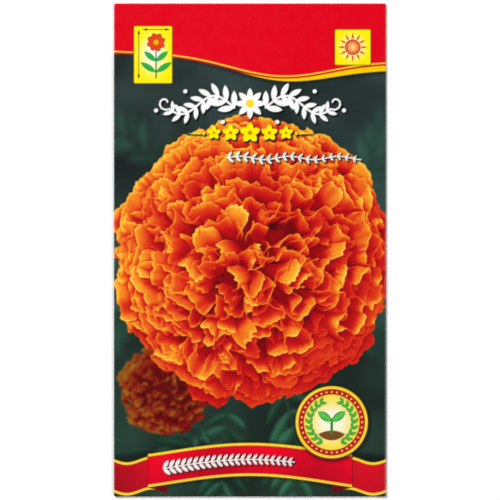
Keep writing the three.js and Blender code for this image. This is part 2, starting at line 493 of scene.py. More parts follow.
def look_at_bloom(petals, xs, ys, steps):
    """The height that each dot sees, what it sees of the petal there, and the heights that the light sees."""
    across, along = steps
    u = np.linspace(-1, 1, across)[None, :, None]
    v = np.linspace(PETAL_FOOT, 1, along)[None, None, :]
    shape = (ys.size, xs.size)
    seen = {name: np.zeros(xs.size * ys.size) for name in ("up", "edge", "hue", "u", "nx", "ny", "nz")}
    height = np.full(xs.size * ys.size, -1.0)
    lit_height = np.full((SHADOW_CELLS, SHADOW_CELLS), -9.0)
    cell = xs[1] - xs[0]
    for start in range(0, petals["tilt"].size, BATCH):
        batch = {name: values[start : start + BATCH] for name, values in petals.items()}
        places, up = petal_points(batch, u, v)
        normals = unit(np.cross(np.gradient(places, axis=1), np.gradient(places, axis=2)))
        normals *= np.where(normals[..., 2:] < 0, -1, 1)
        points = places.reshape(-1, 3)
        np.maximum.at(lit_height, tuple(shadow_cells(points)), points @ LIGHT)
        column = np.rint((points[:, 0] - xs[0]) / cell).astype(int)
        row = np.rint((points[:, 1] - ys[0]) / cell).astype(int)
        inside = np.nonzero((column >= 0) & (column < xs.size) & (row >= 0) & (row < ys.size))[0]
        inside = inside[np.argsort(points[inside, 2])]
        nearest = np.full(height.size, -1)
        nearest[row[inside] * xs.size + column[inside]] = inside
        dots = np.nonzero(nearest >= 0)[0]
        dots = dots[points[nearest[dots], 2] > height[dots]]
        height[dots] = points[nearest[dots], 2]
        edge = np.maximum(v, 0.5 + 0.5 * np.abs(u))
        layers = (up, edge, batch["hue"][:, None, None], u, *np.moveaxis(normals, -1, 0))
        for name, layer in zip(seen, layers):
            seen[name][dots] = np.broadcast_to(layer, up.shape).reshape(-1)[nearest[dots]]
    return height.reshape(shape), {name: layer.reshape(shape) for name, layer in seen.items()}, lit_height


print(f"petals are drawn {BATCH} at a time")

# %% Pinholes
PINHOLE = 0.015  # how far a pinhole lies behind the dots next to it


def close_pinholes(height, seen):
    """A dot that lies far behind both its neighbours fell between two points: it copies one of them."""
    for away, axis in ((1, 1), (1, 0), (2, 1), (2, 0), (1, 1), (1, 0)):
        before = np.roll(height, away, axis)
        hole = np.minimum(before, np.roll(height, -away, axis)) > height + PINHOLE * away**2
        height = np.where(hole, before, height)
        seen = {name: np.where(hole, np.roll(layer, away, axis), layer) for name, layer in seen.items()}
    return height, seen


filled = close_pinholes(np.array([[1.0, 0.0, 1.0]]), {})[0]
print(f"a pinhole between dots that are 1 high is filled up to {filled[0, 1]:.0f}")

# %% [markdown]
# Light in a marigold
#
# Petals are thin and let light through, so a shaded petal isn't grey but deep red, and a lit one runs through
# orange to yellow at the edge, where light comes from behind as well. One tone from 0 to 1 holds how much
# light a dot has, and a ramp of colours turns it into ink. The light that reaches into the gaps is guessed
# from the heights: a dot that lies lower than its neighbourhood is darker, at three sizes of neighbourhood.

# %% Colours and sunlight
PETAL_TONES = {
    0.00: "#3a0408",
    0.08: "#7c050c",
    0.18: "#a80810",
    0.30: "#c41016",
    0.42: "#d92a16",
    0.56: "#e84e1a",
    0.70: "#f4781e",
    0.84: "#fda426",
    1.00: "#ffcf4c",
}
SHADOW_TAPS = ((0, 0), (2, 0), (-2, 0), (0, 2), (0, -2), (3, 3), (-3, 3), (3, -3), (-3, -3))


def petal_colour(tone):
    colours = np.array([rgb(code) for code in PETAL_TONES.values()])
    return np.stack([np.interp(tone, list(PETAL_TONES), colours[:, part]) for part in range(3)], -1)


def sunlight(points, lit_height):
    """How much of the light reaches each point, with a soft edge to the shadow."""
    row, column = shadow_cells(points)
    lit = 0
    for up, right in SHADOW_TAPS:
        cells = [np.clip(place, 0, SHADOW_CELLS - 1) for place in (row + up, column + right)]
        above = lit_height[tuple(cells)] - points @ LIGHT
        lit = lit + np.clip(1 - (above - 0.025) / 0.035, 0, 1) / len(SHADOW_TAPS)
    return lit


print(f"{len(PETAL_TONES)} tones from shade to light")

# %% The blooms
HEART_RADIUS = 0.8  # within it, the dark inside of the bloom shows where no petal does
HEART_TONE = 0.2
SUNK = ((0.007, 6.0), (0.019, 4.8), (0.049, 3.0))  # sizes of neighbourhood, and how much each one darkens
SMALL_FLOWER = {"centre": (-25, -41), "radius": 13, "count": 200, "seed": 21, "steps": (60, 80)}
LARGE_FLOWER = {"centre": (0.8, -3.4), "radius": 39.5, "count": 640, "seed": 3, "steps": (124, 164)}


def print_bloom(plate, centre, radius, count, seed, steps, focus=0.0, dim=1.0):
    """Prints a bloom. focus is how far it is out of focus, in mm, and dim how bright it is."""
    area, xs, ys = plate.window(around(centre, margin=1.12 * radius))
    xs, ys = (xs[0] - centre[0]) / radius, (ys[:, 0] - centre[1]) / radius
    height, seen, lit_height = look_at_bloom(draw_petals(count, seed), xs, ys, steps)
    height, seen = close_pinholes(height, seen)
    off = np.hypot(xs[None, :], ys[:, None])
    heart = np.sqrt(np.maximum(HEART_RADIUS**2 - off**2, 0)) - 0.35
    deep = (off < HEART_RADIUS) & (height < heart)
    height = np.where(deep, heart, height)
    cover = ((height > -0.99) | deep)[..., None].astype(float)

    grid = np.broadcast_arrays(xs[None, :], ys[:, None])
    lit = sunlight(np.stack([*grid, height], -1), lit_height)
    facing = np.abs(seen["nx"] * LIGHT[0] + seen["ny"] * LIGHT[1] + seen["nz"] * LIGHT[2])
    openness = 1
    for size, depth in SUNK:
        sunk = np.clip(soften(height, size * radius) - height, 0, None)
        openness = openness * np.exp(-depth * sunk)
    rim = smooth(seen["edge"], 0.93, 0.985)
    # Direct light, the sky, and the glow of the outer half; hue, bright rim, dark middle; and fine veins.
    tone = 0.13 + 0.4 * lit * (0.25 + 0.75 * facing) + 0.1 * seen["nz"] + 0.27 * smooth(seen["up"], 0.45, 1)
    tone += seen["hue"] + 0.16 * rim * (0.4 + 0.6 * lit) - 0.06 * smooth(off, 0, 0.7)
    tone += 0.018 * np.sin(42 * seen["u"] + 60 * seen["hue"]) * (1 - rim)
    colour = petal_colour(np.where(deep, HEART_TONE, tone) * (0.4 + 0.6 * openness)) * dim
    if focus:
        cover, colour = soften(cover, focus), soften(colour * cover, focus)
        colour = colour / np.maximum(cover, 1e-3)
    plate.ink[area] += (colour - plate.ink[area]) * cover
    print(f"bloom of {count} petals, {2 * radius:.0f} mm across")


print_bloom(front_plate, **SMALL_FLOWER, focus=0.25, dim=0.62)
print_bloom(front_plate, **LARGE_FLOWER)

# %% [markdown]
# The header and its pictograms
#
# Seed packets carry a flat, saturated band at the top, so that they read from across a shop. Here it is red,
# with a wave for its lower edge, a gold line along that, and a yellow sliver that fades out to the left. The
# tiles tell how the plant is grown, without words: a flower with its height and its spacing, and a sun.

# %% The header
RED = "#e4011c"
GOLD = "#ffdc34"
GOLD_LINE = 0.45
EVERYWHERE = np.array((-99, 99, -99, 99))


def header_edge(x):
    return 57.2 - 5.6 * np.exp(-(((x - 9) / 21) ** 2)) - 0.035 * x


def sliver_edge(x):
    return header_edge(x) - 2.6 * smooth(x, -34, 40)


def above(edge, drop=0.0):
    """Everything above a curve y = edge(x) that is lowered by drop."""
    return Shape(lambda x, y: edge(x) - drop - y, EVERYWHERE)


front_plate.lay("#0a1210", above(sliver_edge, 0.8), fade=1.6, strength=0.55)
front_plate.lay("#ffce00", above(sliver_edge))
front_plate.lay("#c41220", above(header_edge, GOLD_LINE + 0.5))
front_plate.lay(GOLD, above(header_edge, GOLD_LINE))
front_plate.lay(RED, above(header_edge))
print(f"header down to {header_edge(9.0):.1f} mm above the middle")

# %% [markdown]
# The pictograms
#
# They are small flat drawings, so each is laid from the back to the front, as a child glues coloured paper:
# dark outline, colour, then what stands on it. The same plant, sun and arrow serve on the packet's back.

# %% Tiles and arrows
PLANT_TILE = (-28.5, 57.4)
SUN_TILE = (30.2, 59.6)


def glow(middle, size, reach, near, far):
    """A colour that changes outwards, between the two reaches. A reach is a share of the size."""
    near, far = rgb(near), rgb(far)

    def colour(x, y):
        off = np.hypot((x - middle[0]) / size[0], (y - middle[1]) / size[1])[..., None]
        return near + (far - near) * smooth(off, *reach)

    return colour


def print_tile(plate, middle, width, height):
    """A yellow tile with a pale middle and a thin dark outline."""
    plate.lay("#5a2a12", panel(middle, width + 0.3, height + 0.3, 0.5))
    yellow = glow(middle, (width, height), (0.08, 0.56), "#fffde6", "#fff000")
    plate.lay(yellow, panel(middle, width, height, 0.4))


def print_arrow(plate, start, end):
    """A thin dimension line with a head at both ends."""
    angle = math.atan2(end[1] - start[1], end[0] - start[0])
    plate.lay("#1d1d1b", bar(start, end, 0.16))
    for tip, back in ((start, angle), (end, angle + math.pi)):
        plate.lay("#1d1d1b", bar(ahead(tip, back, 0.9), ahead(tip, back, 0.15), 0.62, 0.1))


print_tile(front_plate, PLANT_TILE, 11.2, 16.8)
print_tile(front_plate, SUN_TILE, 10.4, 10.4)
print(f"tiles at {PLANT_TILE} and {SUN_TILE}")


# %% Plant and sun
def print_daisy(plate, middle, radius, colour, line, eye="#ffb400"):
    """A flat flower: eight leaf-shaped petals round an eye."""
    for grow, ink in ((0.24, line), (0, colour)):
        for k in range(8):
            tip = ahead(middle, math.pi * k / 4 + 0.3, radius + grow / 2)
            plate.lay(ink, leaf(middle, tip, radius * 0.62 + grow))
    plate.lay(line, disc(middle, radius * 0.32 + 0.1))
    plate.lay(eye, disc(middle, radius * 0.32))


def print_leaf_pair(plate, root, reach, rise, *looks):
    """Two leaves that spread from a root. Each look is a width and a green, and the last one is on top."""
    for side in (-1, 1):
        tip = (root[0] + side * reach, root[1] + rise)
        for width, green in looks:
            plate.lay(green, leaf(root, tip, width))


def print_plant(plate, foot, height):
    """A stem with two pairs of leaves and a flower on top."""
    head = (foot[0], foot[1] + height * 0.78)
    width = height * 0.105
    plate.lay("#0c7a33", bar(foot, head, 0.42, 0.3))
    for up, reach in ((0.12, 0.34), (0.36, 0.26)):
        root = (foot[0], foot[1] + height * up)
        looks = (width + 0.2, "#0b6b2c"), (width, "#2fae4a")
        print_leaf_pair(plate, root, height * reach, height * 0.22, *looks)
    print_daisy(plate, head, height * 0.2, "#e8431e", "#8e1a10")


def print_sun(plate, middle, radius):
    for k in range(12):
        start, end = (ahead(middle, math.pi * k / 6, share * radius) for share in (1.3, 1.85))
        plate.lay("#e8431e", bar(start, end, 0.3 * radius, 0.08 * radius))
    plate.lay("#8e1a10", disc(middle, radius + 0.1))
    plate.lay(glow(middle, (radius, radius), (0.1, 1), "#ffd27a", "#ee5a2a"), disc(middle, radius - 0.1))


print_plant(front_plate, foot=(-27.6, 50.6), height=13.4)
print_arrow(front_plate, (-32.7, 50.4), (-32.7, 64.6))
print_arrow(front_plate, (-31.4, 64.8), (-23.8, 64.8))
print_sun(front_plate, SUN_TILE, radius=2.2)
print("a plant with its two measures, and a sun")

# %% [markdown]
# Ornaments
#
# A vine of white leaves with a flower in its middle stands under the header, a row of five yellow blossoms
# below it, and a fine sprig to one side. They are white and yellow over a dark shadow, which keeps them clear
# of the picture behind, so each is drawn twice: once in black, a little lower and softer, and then in colour.


# %% Sprigs, flowers and their shadows
def sprig(points, leaf_length, leaf_width, stem, every=1):
    """The outlines of a stem through some points, with a pair of leaves at every so many of them."""
    shapes = []
    for k, (start, end) in enumerate(zip(points, points[1:])):
        shapes.append(bar(start, end, stem))
        if k % every == 0:
            heading = math.atan2(end[1] - start[1], end[0] - start[0])
            share = 1 - 0.4 * k / len(points)
            for side in (-1, 1):
                tip = ahead(start, heading + 0.85 * side, leaf_length * share)
                shapes.append(leaf(start, tip, leaf_width * share))
    return shapes


def flower_shapes(middle, radius, petals, plump):
    tips = [ahead(middle, 2 * math.pi * k / petals + math.pi / 2, radius) for k in range(petals)]
    return [leaf(middle, tip, plump * radius) for tip in tips]


def shadow_of(shape, drop):
    """A shape moved right and down, and 0.1 mm wider all round."""
    box = shape.box + (drop, drop, -drop, -drop)
    return Shape(lambda x, y: shape.distance(x - drop, y + drop) - 0.1, box)


def print_with_shadow(plate, shapes, colour, drop=0.42):
    for shape in shapes:
        plate.lay("#050807", shadow_of(shape, drop), fade=0.5, strength=0.85)
    for shape in shapes:
        plate.lay(colour, shape)


line = [(-6.5 + 1.15 * k, 27.0 + 0.5 * math.sin(0.5 * k)) for k in range(35)]
print_with_shadow(front_plate, sprig(line, 2.2, 0.8, 0.36, every=2), "#fdfdfb", drop=0.3)
print("a sprig of white leaves")

# %% The vine and the blossoms
VINE_STEPS = 18
VINE_FLOWER = (0, 43.0)
BLOSSOMS = ((-10.6, 2.1), (-5.7, 2.5), (0, 3.1), (5.7, 2.5), (10.6, 2.1))  # place across, and size
BLOSSOM_ROW = 34.4


def vine(side):
    """Half of the vine: a wave that winds up into a curl at its end."""
    points = [(side * (4.6 + 1.12 * k), 42.6 + 2.7 * math.sin(0.36 * k - 0.3)) for k in range(VINE_STEPS)]
    curl_x, curl_y = points[-1][0] + side * 1.3, points[-1][1] + 1.8
    for k in range(1, 9):
        angle = -2.2 + 0.62 * k
        reach = 2.2 - 0.18 * k
        points.append((curl_x + side * math.cos(angle) * reach, curl_y + math.sin(angle) * reach))
    return points


white = []
for side in (-1, 1):
    stem = vine(side)
    white += sprig(stem[:VINE_STEPS], 5.0, 1.85, 0.65, every=2)
    white += [bar(start, end, 0.55) for start, end in zip(stem[VINE_STEPS - 1 :], stem[VINE_STEPS:])]
    white += [disc((side * x, y), 0.62) for x, y in ((8.0, 37.6), (19.0, 46.6), (27.6, 41.0))]
white += flower_shapes(VINE_FLOWER, 4.6, 8, 0.4)
print_with_shadow(front_plate, white, "#fdfdfb")
front_plate.lay("#ffdc28", disc(VINE_FLOWER, 1.2))

yellow = []
for x, size in BLOSSOMS:
    yellow += flower_shapes((x, BLOSSOM_ROW), size, 5, 0.66)
for side in (-1, 1):
    yellow.append(disc((side * 13.6, BLOSSOM_ROW - 0.2), 0.45))
    yellow.append(bar((side * 14.6, BLOSSOM_ROW - 0.2), (side * 18.2, BLOSSOM_ROW - 0.2), 0.5, 0.1))
print_with_shadow(front_plate, yellow, "#fff200")
for x, size in BLOSSOMS:
    front_plate.lay("#d8860c", disc((x, BLOSSOM_ROW), 0.2 * size))

print(f"{len(white)} white outlines and {len(yellow)} yellow ones")

# %% [markdown]
# The ribbon
#
# A red ribbon with gold edges is bent over the foot of the packet. Its middle arches up, its ends fold back
# behind it, and its tails run off the sides, lower and darker. So the tails are printed first, then the
# folded ends, and the middle last.

# %% Bands of ribbon
RIBBON_HALF = 4.9


def ribbon_middle(x):
    return -63.8 + 2.3 * np.cos(math.pi * x / 46)


def tail_middle(x):
    return -66.4 + 0.9 * np.sin(0.42 * (np.abs(x) - 25))


def band(middle, half, start, end):
    """What lies within half of a curve, between two values of x."""

    def distance(x, y):
        return np.maximum(np.abs(y - middle(x)) - half, np.maximum(start - x, x - end))

    return Shape(distance, np.array((start, end, -74, -52)))


def print_band(plate, middle, start, end, red, sheen):
    """A stretch of ribbon: dark outline, gold edge, and red with a soft sheen along it."""

    def cloth(x, y):
        light = 1 + sheen * np.sin(0.21 * x + 0.6) + 0.06 * (y - middle(x)) / RIBBON_HALF
        return rgb(red) * light[..., None]

    plate.lay("#50100c", band(middle, RIBBON_HALF + 0.12, start - 0.12, end + 0.12))
    plate.lay(GOLD, band(middle, RIBBON_HALF, start, end))
    plate.lay("#a80818", band(middle, RIBBON_HALF - 0.80, start, end))
    plate.lay(cloth, band(middle, RIBBON_HALF - 0.94, start, end))


print(f"ribbon {2 * RIBBON_HALF:.1f} mm wide")

# %% The ribbon
RIBBON_END = 30.0
RIBBON_FOLD = 4.2  # how far the tails reach in behind the middle


def folded_end(side):
    """The dark underside of the ribbon between its middle and a tail."""
    end, back = side * RIBBON_END, side * (RIBBON_END - RIBBON_FOLD)
    foot = ribbon_middle(RIBBON_END) - RIBBON_HALF
    hem = tail_middle(RIBBON_END - RIBBON_FOLD) - RIBBON_HALF

    def distance(x, y):
        slant = foot + (hem - foot) * (x - end) / (back - end)
        return np.maximum(np.maximum((slant - y) * 0.9, y - foot - 1), side * (x - end))

    return Shape(distance, around((end, foot), (back, hem)))


shade = band(ribbon_middle, RIBBON_HALF + 0.6, -41, 41)
front_plate.lay("#060b09", shade, fade=1.6, strength=0.5)
for side in (-1, 1):
    inner, outer = sorted((side * (RIBBON_END - RIBBON_FOLD), side * 41.5))
    print_band(front_plate, tail_middle, inner, outer, "#c20d22", 0.10)
    front_plate.lay("#6d0814", folded_end(side))
print_band(front_plate, ribbon_middle, -RIBBON_END, RIBBON_END, "#dc0524", 0.07)
stem = [(x, float(ribbon_middle(x))) for x in np.arange(-25.5, 13.1, 1.75)]
print_with_shadow(front_plate, sprig(stem, 2.9, 1.15, 0.4), "#fbf3ee", drop=0.25)
print(f"its middle {2 * RIBBON_END:.0f} mm long")

# %% [markdown]
# The medallion
#
# It overlaps the ribbon's right end: a gold ring, a red one with beads, and a pale middle in which a seedling
# stands between two leaf garlands. All its sizes are shares of its radius, so that it can be made larger.

# %% The medallion
MEDALLION = (24.0, -50.6)
MEDALLION_RADIUS = 10.6
MEDALLION_RINGS = {1.02: "#6b3a08", 1.0: GOLD, 0.92: "#8a1410", 0.905: "#c2161c", 0.78: "#8a5a0a"}
BEADS = 36
GARLAND_LEAVES = 9


def print_medallion(plate, middle, radius):
    x0, y0 = middle
    plate.lay("#060b09", disc((x0 + 0.3, y0 - 0.4), radius + 0.5), fade=1.4, strength=0.6)
    for share, colour in MEDALLION_RINGS.items():
        plate.lay(colour, disc(middle, share * radius))
    for k in range(BEADS):
        bead = ahead(middle, 2 * math.pi * k / BEADS, 0.842 * radius)
        plate.lay("#ffe98c", disc(bead, 0.026 * radius))
    cream = glow(middle, (radius, radius), (0.2, 0.77), "#fffbe0", "#ffe24a")
    plate.lay(cream, disc(middle, 0.77 * radius))
    for side in (-1, 1):
        for k in range(GARLAND_LEAVES):
            angle = math.radians(-90 + side * (24 + 15.5 * k))
            start = ahead(middle, angle, 0.62 * radius)
            for turn in (0.55, -0.5):
                tip = ahead(start, angle + side * (math.pi / 2 - turn), 0.2 * radius)
                plate.lay("#1c7d2c", leaf(start, tip, 0.085 * radius))
                plate.lay("#4fc04a", leaf(start, tip, 0.05 * radius))
    mound = disc((x0, y0 - 0.95 * radius), 0.72 * radius)
    plate.lay("#7a4a22", overlap(mound, disc(middle, 0.5 * radius), mound.box))
    plate.lay("#2a8a32", bar((x0, y0 - 0.3 * radius), (x0, y0 + 0.08 * radius), 0.07 * radius))
    looks = (0.21 * radius, "#1c7d2c"), (0.15 * radius, "#58c84e")
    print_leaf_pair(plate, (x0, y0 + 0.02 * radius), 0.38 * radius, 0.28 * radius, *looks)


print_medallion(front_plate, MEDALLION, MEDALLION_RADIUS)
print(f"medallion {2 * MEDALLION_RADIUS:.1f} mm across")

# %% [markdown]
# The back of the packet
#
# The photograph doesn't show the back. A real one explains the plant there, so this one does it with drawings
# alone: a plain panel, the plant's three ages, a calendar of twelve boxes, and what the plant needs. Its film
# can be coarser, because the drawings are large.

# %% The back's plate and its frame
FLAP_SIDE = 9.0
FLAP_TOP = 14.0
FRAME_LINES = ((0, 0.7, "#c2161c"), (1.3, 0.3, "#d9a520"))  # inset, width and colour
GARLAND_ROW = 46.5

open_right = half_width - FLAP_SIDE  # the part of the back that the flaps leave open
open_top = half_height - FLAP_TOP
back_plate = Plate(-open_right - 4, open_right + 4, fold_bottom + 0.6, open_top + 6, dot=0.16)


def edge_line(shape, width):
    """A line along the edge of a shape."""
    return Shape(lambda x, y: np.abs(shape.distance(x, y)) - width / 2, shape.box)


back_plate.ink[:] = rgb("#fbf5e2")
frame_middle = (0, (open_top - 1 + fold_bottom) / 2)
for inset, width, colour in FRAME_LINES:
    across, up = 2 * open_right - 4 - 2 * inset, open_top - fold_bottom - 8 - 2 * inset
    back_plate.lay(colour, edge_line(panel(frame_middle, across, up, 2.5 - inset), width))
for side in (-1, 1):
    garland = [(side * 1.6 * k, GARLAND_ROW + 0.7 * math.sin(0.5 * k)) for k in range(1, 13)]
    for shape in sprig(garland, 3.4, 1.3, 0.4):
        back_plate.lay("#2c7a3a", shape)
print_daisy(back_plate, (0, GARLAND_ROW), 3.4, "#f08a24", "#a8400e", eye="#8a2a10")
print(f"back plate of {back_plate.columns} x {back_plate.rows} cells")

# %% The plant's ages and its year
MONTHS = {3: "#49a84a", 4: "#49a84a", 6: "#f08a24", 7: "#f08a24", 8: "#f08a24", 9: "#f08a24"}
MONTH_PITCH = 4.25


def print_ages(plate, y0):
    """The plant's three ages in three tiles: a sown seed, a seedling, and a plant in flower."""
    soil = y0 - 6.4
    for x0 in (-17.5, 0, 17.5):
        print_tile(plate, (x0, y0), 15, 21)
        ground = Shape(lambda x, y: y - soil, EVERYWHERE)
        tile = panel((x0, y0), 14.6, 20.6, 0.4)
        plate.lay("#8a5a34", overlap(tile, ground, tile.box))
    plate.lay("#2a1c12", leaf((-19.1, soil - 2.4), (-15.9, soil - 1.8), 0.9))
    print_arrow(plate, (-13.1, soil - 2.2), (-13.1, soil + 1.2))
    plate.lay("#2a8a32", bar((0, soil - 1), (0, soil + 4.2), 0.5))
    print_leaf_pair(plate, (0, soil + 3.8), 4, 3, (1.9, "#3aa544"))
    print_plant(plate, (17.5, soil - 0.4), 13.5)


def print_calendar(plate, y0):
    """Twelve boxes for the months: green ones for sowing, orange ones for flowers."""
    for k in range(12):
        middle = ((k - 5.5) * MONTH_PITCH, y0)
        plate.lay("#9a8f72", panel(middle, 3.85, 5.4, 0.5))
        plate.lay(MONTHS.get(k, "#fffdf4"), panel(middle, 3.45, 5.0, 0.4))


print_ages(back_plate, y0=27)
print_calendar(back_plate, y0=8)
print(f"three ages and {len(MONTHS)} busy months")


# %% Notes, and what the plant needs
def print_needs(plate, y0):
    """Sun, water, and a pot, each in a ring."""
    for x0 in (-17, 0, 17):
        plate.lay("#c2161c", edge_line(disc((x0, y0), 6.4), 0.5))
    print_sun(plate, (-17, y0), 2.3)
    for drop in (disc((0, y0 - 1.0), 2.4), leaf((0, y0 - 3.2), (0, y0 + 4.6), 3.3)):
        plate.lay("#2a7fc0", drop)
    wall = Shape(lambda x, y: np.abs(x - 17) - 2.2 - 0.3 * (y - y0), EVERYWHERE)
    depth = panel((17, y0 - 1.6), 99, 4.4)
    plate.lay("#b5562a", overlap(wall, depth, around((17, y0), margin=6)))
    plate.lay("#c96a38", panel((17, y0 + 0.9), 6.6, 1.5, 0.3))
    print_leaf_pair(plate, (17, y0 + 1.4), 3, 3.2, (1.5, "#2f9a3e"))


def print_note_panel(plate, y0):
    """A pale panel with ruled lines, for the gardener's own notes."""
    plate.lay("#e9dcb8", panel((0, y0), 50, 34, 1.5))
    plate.lay("#fffdf6", panel((0, y0), 49.4, 33.4, 1.3))
    for k in range(5):
        plate.lay("#b9b09a", panel((0, y0 + 10.5 - 5.5 * k), 42, 0.25))


print_note_panel(back_plate, y0=-18)
print_needs(back_plate, y0=-48)
print("a panel for notes, and three needs")

# %% [markdown]
# Laying the flat plan over the folds
#
# Front panel and folds are one surface, so one function bends the flat plan over all of them: straight
# over the panel, round a quarter circle past each fold line, and round a rounded corner where two folds
# meet. There, squares of the plan turn into arcs about the corner, so that no cell shrinks to nothing.
# The paper and its ink both go through this function, one at the paper's middle and one just above it.

# %% Laying the plan over the folds
QUARTER = math.pi / 2


def fold_over(s, t, lift):
    """Where points of the flat plan lie, s across and t up, lift mm outside the middle of the paper."""
    across = side_fold + lift
    up = np.where(t > 0, side_fold, bottom_fold) + lift
    panel_s, panel_t = np.clip(s, -fold_x, fold_x), np.clip(t, fold_bottom, fold_top)
    turn_s = np.minimum(np.abs(s - panel_s) / across, QUARTER)
    turn_t = np.minimum(np.abs(t - panel_t) / up, QUARTER)
    turn = np.maximum(turn_s, turn_t)
    lean = np.minimum(turn_s, turn_t) / np.maximum(turn, 1e-9) * QUARTER / 2
    lean = np.where(turn_t > turn_s, QUARTER - lean, lean)
    x = panel_s + np.sign(s) * across * np.sin(turn) * np.cos(lean)
    y = panel_t + np.sign(t) * up * np.sin(turn) * np.sin(lean)
    drop = (across * np.cos(lean) ** 2 + up * np.sin(lean) ** 2) * (1 - np.cos(turn))
    return np.stack([x, y, front_height(panel_s, panel_t) + lift - drop], -1), turn


print(f"a corner of the plan lies {fold_over(fold_x + 1, fold_top + 1, 0.0)[0][2]:.2f} mm high")


# %% Grids and pieces
def new_grid(columns, rows):
    """A grid, and the column and the row of each of its vertices."""
    bm = bmesh.new()
    bmesh.ops.create_grid(bm, x_segments=columns, y_segments=rows, size=1)
    share = np.array([vertex.co[:2] for vertex in bm.verts]) / 2 + 0.5
    column, row = np.rint(share * (columns, rows)).astype(int).T
    return bm, column, row


def move_vertices(bm, points):
    for vertex, point in zip(bm.verts, points):
        vertex.co = point


def add_object(name, data):
    thing = bpy.data.objects.new(name, data)
    bpy.context.collection.objects.link(thing)
    return thing


def metre_mesh(bm, name):
    """Turns a bmesh in millimetres into a mesh in metres."""
    bmesh.ops.scale(bm, vec=(MM, MM, MM), verts=bm.verts)
    mesh = bpy.data.meshes.new(name)
    bm.to_mesh(mesh)
    bm.free()
    return mesh


def finish_piece(bm, name):
    """Turns a bmesh into a smooth piece that rides on the packet."""
    mesh = metre_mesh(bm, name)
    mesh.shade_smooth()
    piece = add_object(name, mesh)
    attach(piece, "root")
    print(f"{name}: {len(mesh.vertices)} vertices, {len(mesh.polygons)} faces")
    return piece


def paint_vertices(mesh, colours, cover=1.0):
    """Stores sRGB colours as the linear attribute print. Its alpha says how whole the ink is."""
    values = np.ones((len(mesh.vertices), 4), np.float32)
    values[:, :3] = linear(colours)
    values[:, 3] = cover
    mesh.attributes.new("print", "FLOAT_COLOR", "POINT").data.foreach_set("color", values.ravel())


# %% [markdown]
# The ink
#
# Each print becomes a film of small cells whose vertices carry the plate's colours. The front would be
# about 587,000 triangles in one piece, which is too many for one mesh file, so it is cut in three across
# the packet. A film has a UV map that simply follows its grid, so that a baked texture gets the print
# undistorted. Ink cracks a little where paper is folded hard, so the alpha falls round the folds.

# %% The ink
FRONT_CUTS = [0, 243, 486, front_plate.rows]
UV_MARGIN = 0.002


def ink_film(name, plate, first, last, place):
    """A film over some rows of a plate. place gives the points, and how far each one is bent."""
    bm, column, row = new_grid(plate.columns, last - first)
    share = np.stack([column / plate.columns, row / (last - first)], -1)
    row = row + first
    points, turn = place(plate.left + plate.pitch * column, plate.bottom + plate.pitch * row)
    move_vertices(bm, points)
    piece = finish_piece(bm, name)
    paint_vertices(piece.data, plate.vertex_colours()[row, column], 1 - turn / QUARTER)
    corner_vertex = np.empty(len(piece.data.loops), int)
    piece.data.loops.foreach_get("vertex_index", corner_vertex)
    uv = UV_MARGIN + (1 - 2 * UV_MARGIN) * share[corner_vertex]
    piece.data.uv_layers.new(name="OFBake").data.foreach_set("uv", uv.ravel())
    return piece


def on_front(s, t):
    return fold_over(s, t, outside)


def on_back(s, t):
    """The back is read from behind, so its plan is turned over."""
    height = np.full(s.shape, BACK_MIDDLE - outside)
    return np.stack([-s, t, height], -1), np.zeros(s.shape)


films = []
for part, first, last in zip(("bottom", "middle", "top"), FRONT_CUTS, FRONT_CUTS[1:]):
    films.append(ink_film(f"front_print_{part}", front_plate, first, last, on_front))
films.append(ink_film("back_print", back_plate, 0, back_plate.rows, on_back))

# %% [markdown]
# The sheet
#
# A packet is one die-cut sheet: front, back, two side flaps and a top flap. It could be modelled flat and
# folded with an armature, but each fold is a plain quarter or half circle, so the sheet starts as the front
# panel and is folded onwards from its rim: the sides and the top turn under onto the back, and the bottom
# turns up into the back panel, which lies inside the flaps. Only the middle of the paper is drawn. Solidify
# then gives it its thickness, a plain inside and a cut edge.

# %% The front panel and the first quarter of its folds
FOLD_STEPS = 6
PANEL_CELLS = (80, 145)  # about 1 mm each


def stops(low, high, count):
    """Grid stops along one side of the plan: fold steps, count cells of panel, fold steps."""
    ends = np.array([0, FOLD_STEPS, FOLD_STEPS + count, 2 * FOLD_STEPS + count])
    places = [low[0] - low[1] * QUARTER, low[0], high[0], high[0] + high[1] * QUARTER]
    return np.interp(np.arange(ends[-1] + 1), ends, places)


plan_x = stops((-fold_x, side_fold), (fold_x, side_fold), PANEL_CELLS[0])
plan_y = stops((fold_bottom, bottom_fold), (fold_top, side_fold), PANEL_CELLS[1])
sheet, column, row = new_grid(len(plan_x) - 1, len(plan_y) - 1)
move_vertices(sheet, fold_over(plan_x[column], plan_y[row], 0.0)[0])
print(f"front panel and folds: {len(sheet.faces)} faces")

# %% [markdown]
# Flaps and back panel
#
# The operator spin carries a chain of edges round the rest of a fold, and extruding the last chain makes the
# flat paper beyond it. The flaps' ends are cut on the slant, as a die cuts them, so that a corner doesn't
# catch when the packet is folded by machine. A short first step of each side flap keeps the print that
# bleeds over the fold.


# %% Folding, adding and cutting paper
def rim_edges(test):
    """Edges of the sheet's rim whose middle passes a test."""
    chosen = []
    for edge in sheet.edges:
        middle = (edge.verts[0].co + edge.verts[1].co) / 2
        if edge.is_boundary and test(middle):
            chosen.append(edge)
    return chosen


def only(kind, geometry):
    """The vertices, edges or faces in what an operator returns."""
    return [item for item in geometry if isinstance(item, kind)]


def turn_under(edges, centre, axis):
    """The second quarter of a fold. Returns its last edges."""
    made = bmesh.ops.spin(
        sheet, geom=edges, cent=centre, axis=axis, angle=QUARTER, steps=FOLD_STEPS, use_merge=False
    )
    return only(bmesh.types.BMEdge, made["geom_last"])


